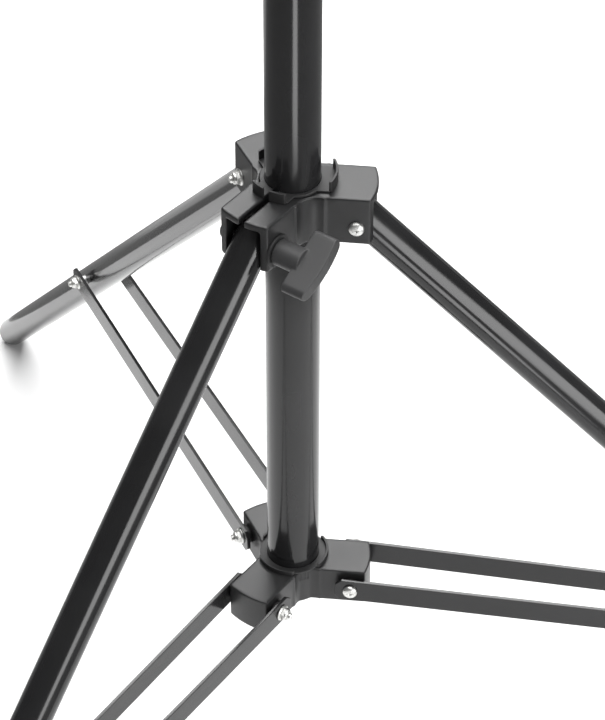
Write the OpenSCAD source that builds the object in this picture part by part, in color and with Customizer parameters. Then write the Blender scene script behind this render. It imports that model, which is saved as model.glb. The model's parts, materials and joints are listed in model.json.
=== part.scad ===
// Crank lighting stand: a tripod base with a sliding leg collar, a lower spider with paired braces,
// and a mast whose riser is wound up by a small cable winch.
// The origin is on the floor under the mast axis. Leg 1 points along +X, legs 2 and 3 follow at 120 degrees.

/* [Mast] */
// Outside diameter of the fixed mast tube
mast_d = 35; // [34:0.5:36]
// Wall of the mast tube and the riser tube
tube_wall = 1.5; // [1.2:0.1:1.8]
// Height of the mast tube's top above the floor
mast_top = 1480; // [1440:10:1600]
// Outside diameter of the riser tube
riser_d = 25; // [24:0.5:25]
// Height of the riser tube's top above the floor when it is wound down
riser_top = 1560; // [1550:10:1700]
// Diameter of the spigot on top of the riser
spigot_d = 16; // [12:0.5:18]

/* [Tripod] */
// Height of the brace pivots at the spider above the floor
spider_z = 270; // [268:1:272]
// Height of the leg pivots above the brace pivots
collar_rise = 309; // [306:1:312]
// Distance of every pivot on the castings from the mast axis
pivot_r = 41.2; // [40:0.2:43]
// Angle between a leg and the vertical with the stand open
leg_angle = 45.2; // [44:0.1:46]
// Outside diameter of a leg tube
leg_d = 24; // [23:0.5:25]
// Distance from a leg's pivot to the end of its tube
leg_len = 804.7; // [790:0.1:820]
// Distance from a leg's pivot to its brace pivot
leg_to_brace = 466; // [460:1:470]
// Height of a brace bar
brace_h = 17; // [15:0.5:19]
// Thickness of a brace bar
brace_t = 2.5; // [2:0.25:3]

/* [Castings] */
// Reach of the lobes of both castings from the mast axis
lobe_reach = 53; // [52:0.5:56]
// Width of a collar lobe
collar_w = 36; // [34:1:38]
// Height of the collar's top above its pivots
collar_up = 22; // [21:1:24]
// Depth of the collar's cheeks below its pivots
collar_down = 12; // [11:1:14]
// Width of a spider lobe
spider_w = 31; // [29:1:32]
// Height of the spider's top above its pivots
spider_up = 13; // [12:1:14]
// Depth of the spider below its pivots
spider_down = 15; // [14:1:16]
// Width of the clamp slit in the collar
slit_w = 4; // [3:0.5:5]
// Length of the clamp knob's wing
wing_len = 44; // [40:1:48]
// Thickness of the clamp knob's wing
wing_t = 9; // [7:0.5:10]
// Turn of the clamp knob's wing out of the horizontal
wing_turn = 30; // [20:1:60]

/* [Winch] */
// Height of the winch drum's axis above the floor
winch_z = 1235; // [1230:5:1260]
// Length of the crank arm from shaft to handle
crank_len = 115; // [100:5:115]
// Radius of the drum's core
drum_r = 16; // [14:1:18]
// Diameter of the wire cable
cable_d = 2; // [1.5:0.5:2]

/* [Hidden] */
$fn = 96;
mast_r = mast_d / 2;
bore_r = mast_r - tube_wall;
riser_r = riser_d / 2;
leg_r = leg_d / 2;
collar_z = spider_z + collar_rise;
lobes = [0, 120, 240];
slot_w = leg_d + 1;
hub_r = 20.8;
valley_r = 12;
bush_r = mast_r + 3;
bush_gap = 0.06;
pin_gap = 0.05;
bolt_r = 2.5;
head_r = 4.9;
nut_af = 8;
nut_h = 5.2;
flange_r = 5.6;
tail = 7.4;
boss_h = 3.2;
boss_r = 6.4;
leg_over = 9;
slot_back = 25.5;
roof_t = 5;
spider_floor = 3;
// The braces meet the legs here, so their length and slope follow from the pivots
brace_x = pivot_r + leg_to_brace * sin(leg_angle);
brace_z = collar_z - leg_to_brace * cos(leg_angle);
brace_len = norm([brace_x - pivot_r, brace_z - spider_z]);
brace_dip = atan2(spider_z - brace_z, brace_x - pivot_r);
brace_end = 10.5;
brace_in_spider = 18.4;
brace_in_leg = 15.7;
toe_in = atan2(brace_in_spider - brace_in_leg, brace_len);
// The winch stands opposite leg 1
winch_turn = 180;
cable_in_x = riser_r + 1.75;
pulley_c = 14;
pulley_x = cable_in_x + pulley_c;
cable_out_x = cable_in_x + 2 * pulley_c;
pulley_z = mast_top + 20;
drum_x = cable_out_x + drum_r + cable_d / 2 + 0.3;
shaft_r = 5;
frame_y = 16;
frame_t = 3;
clamp_y = 24;
clamp_z = 20;
clamp_half = 29;
cover_r = 31;
screw_at = 27;
foot_z = spider_z + 15;

// ---- Shared shapes ----

// Places a child at a leg's lobe, with +X outwards
module at_lobe(n) rotate([0, 0, lobes[n - 1]]) children();

// A tube standing on z = 0
module tube(outer, inner, length) {
    difference() {
        cylinder(r = outer, h = length);
        translate([0, 0, -1]) cylinder(r = inner, h = length + 2);
    }
}

// A rod along Y between two places
module rod_y(r, from, to) translate([0, to, 0]) rotate([90, 0, 0]) cylinder(r = r, h = to - from);

// Plan of a casting with three lobes whose ends lie on one circle
module casting_plan(width) {
    half = width / 2;
    meet = half / sin(60);
    intersection() {
        union() {
            circle(r = hub_r);
            for (a = lobes) rotate(a) translate([0, -half]) square([lobe_reach, width]);
            for (a = lobes) rotate(a + 60) difference() {
                square([2 * meet + valley_r, valley_r * 1.7], center = true);
                translate([meet + valley_r / sin(60), 0]) circle(r = valley_r);
                translate([-meet - valley_r, -valley_r]) square([meet + valley_r, 2 * valley_r]);
                for (s = [-1, 1]) rotate(60 * s) translate([meet / 2 + valley_r, s * (half + valley_r)])
                    square([4 * valley_r, 2 * valley_r], center = true);
            }
        }
        circle(r = lobe_reach);
    }
}

// Upstanding curved lips of a bush, one on each lobe
module lips(r_in, r_out, z_low, z_high, spread) {
    for (a = lobes) rotate([0, 0, a]) intersection() {
        translate([0, 0, z_low]) tube(r_out, r_in, z_high - z_low);
        translate([0, -r_out * sin(spread), z_low - 1]) cube([r_out + 1, 2 * r_out * sin(spread), z_high - z_low + 2]);
    }
}

// A low button head on the +Y side of y = 0
module button_head() {
    rotate([-90, 0, 0]) rotate_extrude() difference() {
        intersection() {
            square([head_r, 3]);
            translate([0, -head_r * 1.05]) circle(r = head_r * 1.6);
        }
        square([1.6, 1.6]);
    }
    rotate([-90, 0, 0]) cylinder(r = 1.7, h = 1.7);
}

// A flanged lock nut on the +Y side of y = 0, on a rod of the bolt's radius
module hex_nut() {
    rotate([-90, 0, 0]) difference() {
        union() {
            cylinder(r = flange_r, h = 1.2);
            rotate([0, 0, 30]) cylinder(r = nut_af / 2 / cos(30), h = nut_h, $fn = 6);
        }
        translate([0, 0, -1]) cylinder(r = bolt_r, h = nut_h + 2);
    }
}

// A bolt across a lobe: head on the -Y side, thread end past the nut on the +Y side
module cross_bolt(reach) {
    translate([0, -reach, 0]) mirror([0, 1, 0]) button_head();
    rod_y(bolt_r, -reach, reach + tail);
}

// ---- Mast and spider ----

module mast_tube() {
    color([0.06, 0.06, 0.065])
    translate([0, 0, spider_z - spider_down + spider_floor])
        tube(mast_r, bore_r, mast_top - spider_z + spider_down - spider_floor);
}

module lower_spider() {
    color([0.1, 0.1, 0.105]) difference() {
        translate([0, 0, spider_z - spider_down]) linear_extrude(spider_up + spider_down) casting_plan(spider_w);
        translate([0, 0, spider_z - spider_down + spider_floor]) cylinder(r = mast_r, h = 60);
        translate([0, 0, spider_z + spider_up - 8]) cylinder(r = bush_r, h = 20);
        for (n = [1:3]) at_lobe(n) translate([pivot_r, 0, spider_z]) rod_y(bolt_r, -30, 30);
    }
}

module spider_ring() {
    color([0.14, 0.14, 0.145]) {
        translate([0, 0, spider_z + spider_up - 8]) tube(bush_r, mast_r, 9.2);
        translate([0, 0, spider_z + spider_up]) tube(bush_r + 2, bush_r, 1.2);
        lips(bush_r + 2, bush_r + 3.6, spider_z + spider_up, spider_z + spider_up + 3.6, 36);
    }
}

module spider_bolts() {
    color([0.8, 0.8, 0.8]) for (n = [1:3]) at_lobe(n)
        translate([pivot_r, 0, spider_z]) cross_bolt(brace_in_spider + brace_t + 0.35);
}

module spider_nuts() {
    color([0.75, 0.75, 0.75]) for (n = [1:3]) at_lobe(n)
        translate([pivot_r, brace_in_spider + brace_t + 0.35, spider_z]) hex_nut();
}

module spider_spacers() {
    color([0.05, 0.05, 0.05]) for (n = [1:3], s = [-1, 1]) at_lobe(n)
        translate([pivot_r, s * (spider_w / 2 + 1.25), spider_z]) rotate([90, 0, 0]) difference() {
            cylinder(r = 6.5, h = 2.5, center = true);
            cylinder(r = bolt_r, h = 5, center = true);
        }
}

// ---- Leg collar and its clamp ----

module leg_collar() {
    color([0.1, 0.1, 0.105]) difference() {
        translate([0, 0, collar_z - collar_down])
            linear_extrude(collar_up + collar_down) casting_plan(collar_w);
        translate([0, 0, collar_z - 40]) cylinder(r = bush_r, h = 80);
        for (n = [1:3]) at_lobe(n) {
            translate([slot_back, -slot_w / 2, collar_z - 40])
                cube([60, slot_w, 40 + collar_up - roof_t]);
            translate([pivot_r, 0, collar_z]) rod_y(bolt_r, -30, 30);
        }
        at_lobe(3) translate([0, -slit_w / 2, collar_z - 40]) cube([80, slit_w, 80]);
    }
    // Raised ring round the head of the clamp bolt
    color([0.1, 0.1, 0.105]) at_lobe(3) translate([pivot_r, -collar_w / 2 + 0.2, collar_z])
        rotate([90, 0, 0]) tube(boss_r, head_r + 0.3, boss_h + 0.2);
}

module collar_bush() {
    color([0.14, 0.14, 0.145]) difference() {
        union() {
            translate([0, 0, collar_z - collar_down]) tube(bush_r, mast_r + bush_gap, collar_up + collar_down + 1.4);
            intersection() {
                translate([0, 0, collar_z + collar_up]) tube(27, bush_r, 1.4);
                for (n = [1:3]) at_lobe(n) translate([0, -13, collar_z]) cube([40, 26, 40]);
            }
            lips(26.4, 28, collar_z + collar_up, collar_z + collar_up + 8, 26);
        }
        at_lobe(3) translate([0, -slit_w / 2, collar_z - 40]) cube([80, slit_w, 90]);
    }
}

module collar_bolts() {
    color([0.8, 0.8, 0.8]) for (n = [1, 2]) at_lobe(n)
        translate([pivot_r, 0, collar_z]) cross_bolt(collar_w / 2);
}

module collar_nuts() {
    color([0.75, 0.75, 0.75]) for (n = [1, 2]) at_lobe(n)
        translate([pivot_r, collar_w / 2, collar_z]) hex_nut();
}

module clamp_bolt() {
    color([0.7, 0.7, 0.7]) at_lobe(3) translate([pivot_r, 0, collar_z]) {
        rod_y(bolt_r, -collar_w / 2, collar_w / 2 + 26);
        translate([0, -collar_w / 2, 0]) mirror([0, 1, 0]) button_head();
    }
}

module clamp_washer() {
    color([0.3, 0.3, 0.3]) at_lobe(3) translate([pivot_r, collar_w / 2, collar_z])
        rotate([-90, 0, 0]) tube(10.8, bolt_r, 1.6);
}

// Wing knob: a round hub on the bolt and a round-ended wing whose outer edge is crowned
module clamp_knob() {
    color([0.12, 0.12, 0.125]) at_lobe(3) translate([pivot_r, collar_w / 2 + 1.9, collar_z]) {
        difference() {
            union() {
                rotate([-90, 0, 0]) cylinder(r = 8.6, h = 19);
                rotate([0, wing_turn, 0]) intersection() {
                    translate([0, 34, 0]) rotate([90, 0, 0]) linear_extrude(18.4) {
                        square([wing_len - wing_t, wing_t], center = true);
                        for (s = [-1, 1]) translate([s * (wing_len - wing_t) / 2, 0]) circle(r = wing_t / 2);
                    }
                    translate([0, 33.8 - 98, -20]) cylinder(r = 98, h = 40);
                }
            }
            rod_y(bolt_r + pin_gap, -1, 25);
        }
    }
}

// ---- Legs ----

// Places a child on a leg: the origin at its pivot and -Z along the tube
module on_leg(n) at_lobe(n) translate([pivot_r, 0, collar_z]) rotate([0, -leg_angle, 0]) children();

module leg_tube(n) {
    color([0.05, 0.05, 0.055]) on_leg(n) difference() {
        translate([0, 0, -leg_len]) tube(leg_r, leg_r - 1.2, leg_len + leg_over - 2);
        rod_y(bolt_r + pin_gap, -20, 20);
        translate([0, 0, -leg_to_brace]) rod_y(4, -20, 20);
    }
}

// Moulded plug in the top of a leg that takes the pivot bolt
module leg_head(n) {
    color([0.08, 0.08, 0.08]) on_leg(n) difference() {
        union() {
            translate([0, 0, -24]) cylinder(r = leg_r - 1.2, h = 24 + leg_over - 2);
            translate([0, 0, leg_over - 2]) cylinder(r1 = leg_r, r2 = leg_r - 2, h = 2);
        }
        rod_y(bolt_r + pin_gap, -20, 20);
    }
}

// Domed rubber plug in the bottom of a leg
module leg_foot(n) {
    color([0.04, 0.04, 0.04]) on_leg(n) translate([0, 0, -leg_len]) {
        cylinder(r = leg_r - 1.2, h = 26);
        rotate_extrude() intersection() {
            circle(r = leg_r);
            translate([0, -leg_r]) square([leg_r, leg_r]);
        }
    }
}

// Steel sleeve across a leg that the brace screws meet
module leg_sleeve(n) {
    color([0.6, 0.6, 0.6]) on_leg(n) translate([0, 0, -leg_to_brace])
        rod_y(4, -brace_in_leg + 0.35, brace_in_leg - 0.35);
}

// ---- Braces ----

// Places a child on a brace: the origin at the spider pivot and +X along the bars
module on_brace(n) at_lobe(n) translate([pivot_r, 0, spider_z]) rotate([0, brace_dip, 0]) children();

// One flat bar with cut corners; side is 1 for left of its leg and -1 for right
module brace_bar(n, side) {
    long = brace_len + 2 * brace_end;
    cut = 4;
    color([0.1, 0.1, 0.105]) on_brace(n) difference() {
        translate([0, side * brace_in_spider, 0]) rotate([0, 0, -side * toe_in])
            translate([0, side > 0 ? brace_t : 0, 0]) rotate([90, 0, 0]) linear_extrude(brace_t)
            translate([-brace_end, -brace_h / 2]) polygon([
                [cut, 0], [long - cut, 0], [long, cut], [long, brace_h - cut],
                [long - cut, brace_h], [cut, brace_h], [0, brace_h - cut], [0, cut]]);
        rod_y(bolt_r + pin_gap, -30, 30);
        translate([brace_len, 0, 0]) rod_y(bolt_r, -30, 30);
    }
}

// The screw half of the pivot between braces and leg
module brace_screws(n) {
    color([0.8, 0.8, 0.8]) on_brace(n) translate([brace_len, 0, 0]) {
        translate([0, -brace_in_leg - brace_t - 0.06, 0]) mirror([0, 1, 0]) button_head();
        rod_y(bolt_r, -brace_in_leg - brace_t - 0.06, -brace_in_leg + 0.1);
    }
}

// The nut half of the pivot between braces and leg
module brace_nuts(n) {
    color([0.75, 0.75, 0.75]) on_brace(n) translate([brace_len, 0, 0]) {
        translate([0, brace_in_leg + brace_t + 0.06, 0]) hex_nut();
        rod_y(bolt_r, brace_in_leg - 0.1, brace_in_leg + brace_t + tail);
    }
}

// ---- Mast head and riser ----

module winch_side() rotate([0, 0, winch_turn]) children();

module mast_head() {
    color([0.1, 0.1, 0.105]) difference() {
        union() {
            translate([0, 0, mast_top - 38]) cylinder(r = mast_r + 5, h = 40);
            winch_side() translate([14, -8, mast_top - 6]) cube([32, 16, 44]);
            winch_side() translate([14, -8, mast_top - 30]) cube([12, 16, 30]);
        }
        translate([0, 0, mast_top - 60]) cylinder(r = mast_r, h = 60);
        translate([0, 0, mast_top - 1]) cylinder(r = riser_r + 1, h = 60);
        winch_side() {
            translate([0, -4, mast_top - 1]) cube([60, 8, 60]);
            translate([mast_r + 6, -4, mast_top - 60]) cube([60, 8, 100]);
            translate([pulley_x, 0, pulley_z]) rod_y(3, -20, 20);
        }
    }
}

module head_bush() {
    color([0.75, 0.75, 0.72]) difference() {
        translate([0, 0, mast_top - 41]) tube(bore_r, riser_r + bush_gap, 40);
        winch_side() translate([riser_r - 2, -1.8, mast_top - 60]) cube([10, 3.6, 80]);
    }
}

module head_pulley() {
    color([0.7, 0.7, 0.7]) winch_side() translate([pulley_x, 3.5, pulley_z]) rotate([90, 0, 0]) difference() {
        cylinder(r = pulley_c + 1.2, h = 7);
        translate([0, 0, 3.5]) rotate_extrude() translate([pulley_c + 0.4, 0]) circle(r = cable_d / 2 + 0.5);
        translate([0, 0, -1]) cylinder(r = 3 + pin_gap, h = 9);
    }
}

module pulley_axle() {
    color([0.8, 0.8, 0.8]) winch_side() translate([pulley_x, 0, pulley_z]) {
        rod_y(3, -8, 8);
        for (s = [-1, 1]) rod_y(5, s > 0 ? 8 : -10, s > 0 ? 10 : -8);
    }
}

module riser_tube() {
    color([0.62, 0.63, 0.64]) translate([0, 0, foot_z + 2]) tube(riser_r, riser_r - tube_wall, riser_top - foot_z - 2);
}

module riser_foot() {
    color([0.08, 0.08, 0.08]) translate([0, 0, foot_z]) difference() {
        union() {
            cylinder(r = bore_r - bush_gap, h = 2);
            translate([0, 0, 2]) tube(bore_r - bush_gap, riser_r, 28);
            translate([0, 0, 2]) cylinder(r = riser_r - tube_wall, h = 20);
        }
        winch_side() translate([cable_in_x, 0, 16]) cylinder(r = cable_d / 2 + pin_gap, h = 20);
    }
}

// Cap on the riser that carries the grooved spigot
module spigot_head() {
    color([0.7, 0.7, 0.7]) translate([0, 0, riser_top]) difference() {
        union() {
            translate([0, 0, -30]) cylinder(r = riser_r - tube_wall, h = 30);
            cylinder(r = riser_r + 1.5, h = 14);
            translate([0, 0, 14]) cylinder(r1 = riser_r + 1.5, r2 = spigot_d / 2, h = 5);
            cylinder(r = spigot_d / 2, h = 88);
            translate([0, 0, 88]) cylinder(r1 = spigot_d / 2, r2 = spigot_d / 2 - 2, h = 2);
        }
        translate([0, 0, 32]) tube(spigot_d, spigot_d / 2 - 1.5, 10);
    }
}

// ---- Cable ----

module cable_outside() {
    color([0.55, 0.55, 0.55]) winch_side() {
        translate([cable_out_x, 0, winch_z]) cylinder(r = cable_d / 2, h = pulley_z - winch_z);
        translate([pulley_x, 0, pulley_z]) rotate([90, 0, 0]) rotate_extrude(angle = 180)
            translate([pulley_c, 0]) circle(r = cable_d / 2);
    }
}

module cable_inside() {
    color([0.55, 0.55, 0.55]) winch_side()
        translate([cable_in_x, 0, foot_z + 16]) cylinder(r = cable_d / 2, h = pulley_z - foot_z - 16);
}

module drum_winding() {
    color([0.55, 0.55, 0.55]) at_drum() for (i = [1:3]) translate([0, (i + 0.05) * cable_d, 0])
        rotate([90, 0, 0]) rotate_extrude() translate([drum_r + cable_d / 2, 0]) circle(r = cable_d / 2 - 0.02);
}

// ---- Winch ----

module at_drum() winch_side() translate([drum_x, 0, winch_z]) children();

// Sheet frame: a web bolted against the mast and two side plates
module winch_frame() {
    web_x = mast_r + 5;
    color([0.1, 0.1, 0.105]) difference() {
        union() {
            winch_side() translate([web_x, -clamp_half, winch_z - 32]) cube([3, 2 * clamp_half, 64]);
            for (s = [-1, 1]) winch_side() {
                y = s > 0 ? frame_y : -frame_y - frame_t;
                translate([web_x, y, winch_z - 32]) cube([drum_x - web_x, frame_t, 64]);
                translate([drum_x, 0, winch_z]) rod_y(32, y, y + frame_t);
            }
        }
        at_drum() rod_y(shaft_r + 2, -40, 40);
        for (a = [50, -50]) at_drum() rotate([0, a, 0]) translate([screw_at, 0, 0]) rod_y(2, -40, 40);
        clamp_holes();
    }
}

// The four bolt holes through frame, saddle and strap
module clamp_holes() {
    winch_side() for (y = [-clamp_y, clamp_y], z = [-clamp_z, clamp_z]) translate([-20, y, winch_z + z])
        rotate([0, 90, 0]) cylinder(r = bolt_r, h = 60);
}

// Half clamp between the frame and the mast
module winch_saddle() {
    color([0.12, 0.12, 0.125]) difference() {
        winch_side() translate([0.5, -clamp_half, winch_z - 30]) cube([mast_r + 4.5, 2 * clamp_half, 60]);
        translate([0, 0, winch_z - 40]) cylinder(r = mast_r, h = 80);
        clamp_holes();
    }
}

module winch_strap() {
    color([0.12, 0.12, 0.125]) difference() {
        union() {
            translate([0, 0, winch_z - 30]) cylinder(r = mast_r + 2.8, h = 60);
            winch_side() translate([-8, -clamp_half, winch_z - 30]) cube([7.5, 2 * clamp_half, 60]);
        }
        winch_side() translate([-0.5, -40, winch_z - 40]) cube([60, 80, 80]);
        translate([0, 0, winch_z - 40]) cylinder(r = mast_r, h = 80);
        clamp_holes();
    }
}

module strap_bolts() {
    web_out = mast_r + 8;
    color([0.8, 0.8, 0.8]) winch_side() for (y = [-clamp_y, clamp_y], z = [-clamp_z, clamp_z])
        translate([0, y, winch_z + z]) rotate([0, 90, 0]) {
            translate([0, 0, -8]) cylinder(r = bolt_r, h = 8 + web_out + 7);
            translate([0, 0, -11.5]) cylinder(r = nut_af / 2 / cos(30), h = 3.5, $fn = 6);
            translate([0, 0, web_out]) cylinder(r = nut_af / 2 / cos(30), h = 4, $fn = 6);
        }
}

module shaft_bushes() {
    color([0.72, 0.55, 0.3]) at_drum() for (s = [-1, 1]) mirror([0, s < 0 ? 1 : 0, 0]) difference() {
        union() {
            rod_y(shaft_r + 2, frame_y, frame_y + frame_t);
            rod_y(shaft_r + 4, frame_y - 1.5, frame_y);
        }
        rod_y(shaft_r + pin_gap, 0, 40);
    }
}

module drum_shaft() {
    color([0.8, 0.8, 0.8]) at_drum() {
        rod_y(shaft_r, -24, 40);
        rod_y(shaft_r + 3, -23, -20);
    }
}

module cable_drum() {
    color([0.65, 0.66, 0.67]) at_drum() difference() {
        union() {
            rod_y(drum_r, -13, 13);
            for (s = [-1, 1]) rod_y(27, s > 0 ? 11 : -13, s > 0 ? 13 : -11);
        }
        rod_y(shaft_r, -20, 20);
    }
}

module brake_lining() {
    color([0.35, 0.25, 0.18]) at_drum() difference() {
        rod_y(20, frame_y + frame_t, frame_y + frame_t + 2);
        rod_y(shaft_r + 1, 0, 40);
    }
}

// Crank: a pressure flange on the shaft, a hub and a flat arm that hangs down at rest
module crank_arm() {
    inner = frame_y + frame_t + 2.3;
    color([0.1, 0.1, 0.105]) at_drum() difference() {
        union() {
            rod_y(20, inner, inner + 3);
            rod_y(10, inner, 38);
            rod_y(12, 31, 36);
            translate([-10, 31, -crank_len]) cube([20, 5, crank_len]);
            translate([0, 0, -crank_len]) rod_y(10, 31, 36);
        }
        rod_y(shaft_r, 0, 60);
        translate([0, 0, -crank_len]) rod_y(4, 0, 60);
    }
}

module crank_pin() {
    color([0.8, 0.8, 0.8]) at_drum() translate([0, 0, -crank_len]) {
        rod_y(4, 31, 128);
        rod_y(7, 36, 38);
        rod_y(6.5, 124.5, 128);
    }
}

// Turning handle, a little fuller in the middle
module crank_grip() {
    color([0.06, 0.06, 0.06]) at_drum() translate([0, 38.4, -crank_len]) rotate([-90, 0, 0]) rotate_extrude()
        difference() {
            intersection() {
                square([14, 85.6]);
                translate([-166, 42.8]) circle(r = 180, $fn = 360);
            }
            square([4 + pin_gap, 86]);
        }
}

// Curved guard over the outer half of the drum, with four tapped tabs
module winch_cover() {
    color([0.1, 0.1, 0.105]) at_drum() difference() {
        union() {
            difference() {
                rod_y(cover_r, -frame_y + 0.2, frame_y - 0.2);
                rod_y(cover_r - 1.5, -frame_y - 1, frame_y + 1);
                translate([-80, -40, -40]) cube([80, 80, 80]);
            }
            for (a = [50, -50], y = [-frame_y + 0.5, frame_y - 2.7]) rotate([0, a, 0])
                translate([screw_at - 4, y, -5]) cube([7, 2.2, 10]);
        }
        for (a = [50, -50]) rotate([0, a, 0]) translate([screw_at, 0, 0]) rod_y(2, -40, 40);
    }
}

module cover_screws() {
    out = frame_y + frame_t;
    color([0.8, 0.8, 0.8]) at_drum() for (a = [50, -50], s = [-1, 1]) rotate([0, a, 0])
        translate([screw_at, 0, 0]) {
            rod_y(2, s > 0 ? frame_y - 2.7 : -out, s > 0 ? out : -frame_y + 2.7);
            rod_y(3.6, s > 0 ? out : -out - 2, s > 0 ? out + 2 : -out);
        }
}

mast_tube();
lower_spider();
spider_ring();
spider_bolts();
spider_nuts();
spider_spacers();
leg_collar();
collar_bush();
collar_bolts();
collar_nuts();
clamp_bolt();
clamp_washer();
clamp_knob();
leg_tube(1);  // leg_tube_1
leg_tube(2);  // leg_tube_2
leg_tube(3);  // leg_tube_3
leg_head(1);  // leg_head_1
leg_head(2);  // leg_head_2
leg_head(3);  // leg_head_3
leg_foot(1);  // leg_foot_1
leg_foot(2);  // leg_foot_2
leg_foot(3);  // leg_foot_3
leg_sleeve(1);  // leg_sleeve_1
leg_sleeve(2);  // leg_sleeve_2
leg_sleeve(3);  // leg_sleeve_3
brace_bar(1, 1);  // brace_left_1
brace_bar(2, 1);  // brace_left_2
brace_bar(3, 1);  // brace_left_3
brace_bar(1, -1);  // brace_right_1
brace_bar(2, -1);  // brace_right_2
brace_bar(3, -1);  // brace_right_3
brace_screws(1);  // brace_screws_1
brace_screws(2);  // brace_screws_2
brace_screws(3);  // brace_screws_3
brace_nuts(1);  // brace_nuts_1
brace_nuts(2);  // brace_nuts_2
brace_nuts(3);  // brace_nuts_3
mast_head();
head_bush();
head_pulley();
pulley_axle();
riser_tube();
riser_foot();
spigot_head();
cable_outside();
cable_inside();
winch_frame();
winch_saddle();
winch_strap();
strap_bolts();
shaft_bushes();
drum_shaft();
cable_drum();
drum_winding();
brake_lining();
crank_arm();
crank_pin();
crank_grip();
winch_cover();
cover_screws();
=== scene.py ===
"""Looks of a crank lighting stand: rounded castings, fasteners, cable and handle, their finishes, a pale
floor, soft light and a camera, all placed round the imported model."""

import json
import math

import bmesh
import bpy
from bpy.props import FloatProperty, FloatVectorProperty, IntProperty, PointerProperty
from mathutils import Matrix, Vector


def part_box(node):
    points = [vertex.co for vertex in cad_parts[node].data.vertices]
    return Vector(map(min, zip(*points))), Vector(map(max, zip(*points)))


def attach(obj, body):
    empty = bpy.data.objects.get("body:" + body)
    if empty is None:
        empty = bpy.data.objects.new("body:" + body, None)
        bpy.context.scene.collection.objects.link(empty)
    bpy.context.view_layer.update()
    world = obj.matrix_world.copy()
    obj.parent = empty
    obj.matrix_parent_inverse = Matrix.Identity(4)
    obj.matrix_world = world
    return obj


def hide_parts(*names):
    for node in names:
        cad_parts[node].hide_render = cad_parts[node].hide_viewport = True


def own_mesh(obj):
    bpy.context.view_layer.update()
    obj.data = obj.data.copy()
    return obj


bl_info = {
    "name": "Crank lighting stand",
    "version": (1, 0, 0),
    "blender": (4, 5, 0),
    "location": "3D View > Sidebar > Stand",
    "description": "Builds the refined pieces, finishes and studio of a crank lighting stand",
    "category": "Object",
}

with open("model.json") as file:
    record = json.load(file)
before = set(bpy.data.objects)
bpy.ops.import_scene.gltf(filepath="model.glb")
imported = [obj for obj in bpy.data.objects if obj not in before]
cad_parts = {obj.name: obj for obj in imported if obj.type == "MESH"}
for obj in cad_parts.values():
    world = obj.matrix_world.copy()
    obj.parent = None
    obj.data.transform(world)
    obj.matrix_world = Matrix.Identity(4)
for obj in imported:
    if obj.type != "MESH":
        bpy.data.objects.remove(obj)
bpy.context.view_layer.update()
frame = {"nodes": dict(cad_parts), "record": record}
BODY_OF = {node: body for body, nodes in frame["record"]["behaviour"]["bodies"].items() for node in nodes}
SLOT_OF = {part["node"]: part["material_slot"] for part in frame["record"]["subparts"]}
LEGS = (1, 2, 3)
LOBE_TURN = {leg: math.radians(120 * (leg - 1)) for leg in LEGS}
MM = 0.001

# The winch cable: strands round a middle line, and the steps in which its turns are laid.
STRANDS = 6
STRAND_RADIUS = 0.34 * MM
STRAND_CIRCLE = 0.66 * MM
ROPE_RADIUS = 1 * MM
OUTSIDE_STEP = 1.2 * MM
INSIDE_STEP = 3 * MM
PULLEY_STEPS = 40
DRUM_TURNS = 3
DRUM_STEPS = 80

# The studio: its floor, the height of the cards that lie on it, which glow only in reflections as painted
# reflections, and the camera's sensor.
FLOOR_SIZE = 80
# The dim ring that paints a dark floor into reflections: its inner and outer radii and its height.
DARK_REFLECTION_RADII = (0.66, 9)
DARK_REFLECTION_LEVEL = 1.5 * MM
CARD_LEVEL = 3 * MM
SENSOR_WIDTH = 36


# ---- Sizes, colours and studio settings ----


class StandSizes(bpy.types.PropertyGroup):
    """Sizes of the details that the refined pieces add"""

    casting_round: FloatProperty(
        name="Casting round", description="Radius along the edges of the collar and the spider",
        default=1.8 * MM, min=0.5 * MM, max=3 * MM, unit="LENGTH")
    bush_round: FloatProperty(
        name="Bush round", description="Radius along the edges of the bushes and their lips",
        default=0.45 * MM, min=0.1 * MM, max=0.7 * MM, unit="LENGTH")
    knob_blend: FloatProperty(
        name="Knob blend", description="Grain at which the clamp knob's edges are blended",
        default=0.42 * MM, min=0.3 * MM, max=1 * MM, unit="LENGTH")
    bar_round: FloatProperty(
        name="Bar round", description="Radius along the edges of the brace bars and the winch's sheet metal",
        default=0.35 * MM, min=0.1 * MM, max=0.8 * MM, unit="LENGTH")
    thread_pitch: FloatProperty(
        name="Thread pitch", description="Distance between the threads of the pivot bolts",
        default=0.8 * MM, min=0.5 * MM, max=1.2 * MM, unit="LENGTH")
    bolt_radius: FloatProperty(
        name="Bolt radius", description="Outside radius of the pivot bolts' threads",
        default=2.5 * MM, min=2 * MM, max=3 * MM, unit="LENGTH")
    collar_reach: FloatProperty(
        name="Collar reach", description="From a leg's middle to the seat of its pivot bolt's head or nut",
        default=18 * MM, min=15 * MM, max=20 * MM, unit="LENGTH")
    spider_reach: FloatProperty(
        name="Spider reach", description="From a lobe's middle to the seat of the spider bolt's head or nut",
        default=21.25 * MM, min=20 * MM, max=23 * MM, unit="LENGTH")
    brace_reach: FloatProperty(
        name="Brace reach", description="From a leg's middle to the seats of its brace screws",
        default=18.26 * MM, min=17 * MM, max=20 * MM, unit="LENGTH")
    thread_tail: FloatProperty(
        name="Thread tail", description="Length of thread from a nut's seat to the bolt's end",
        default=7.4 * MM, min=6 * MM, max=9 * MM, unit="LENGTH")
    rope_lay: FloatProperty(
        name="Rope lay", description="Length in which a strand of the cable winds round once",
        default=14 * MM, min=8 * MM, max=20 * MM, unit="LENGTH")
    grip_rings: IntProperty(
        name="Grip rings", description="Number of grooves round the crank's handle", default=9, min=5, max=12)


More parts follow.
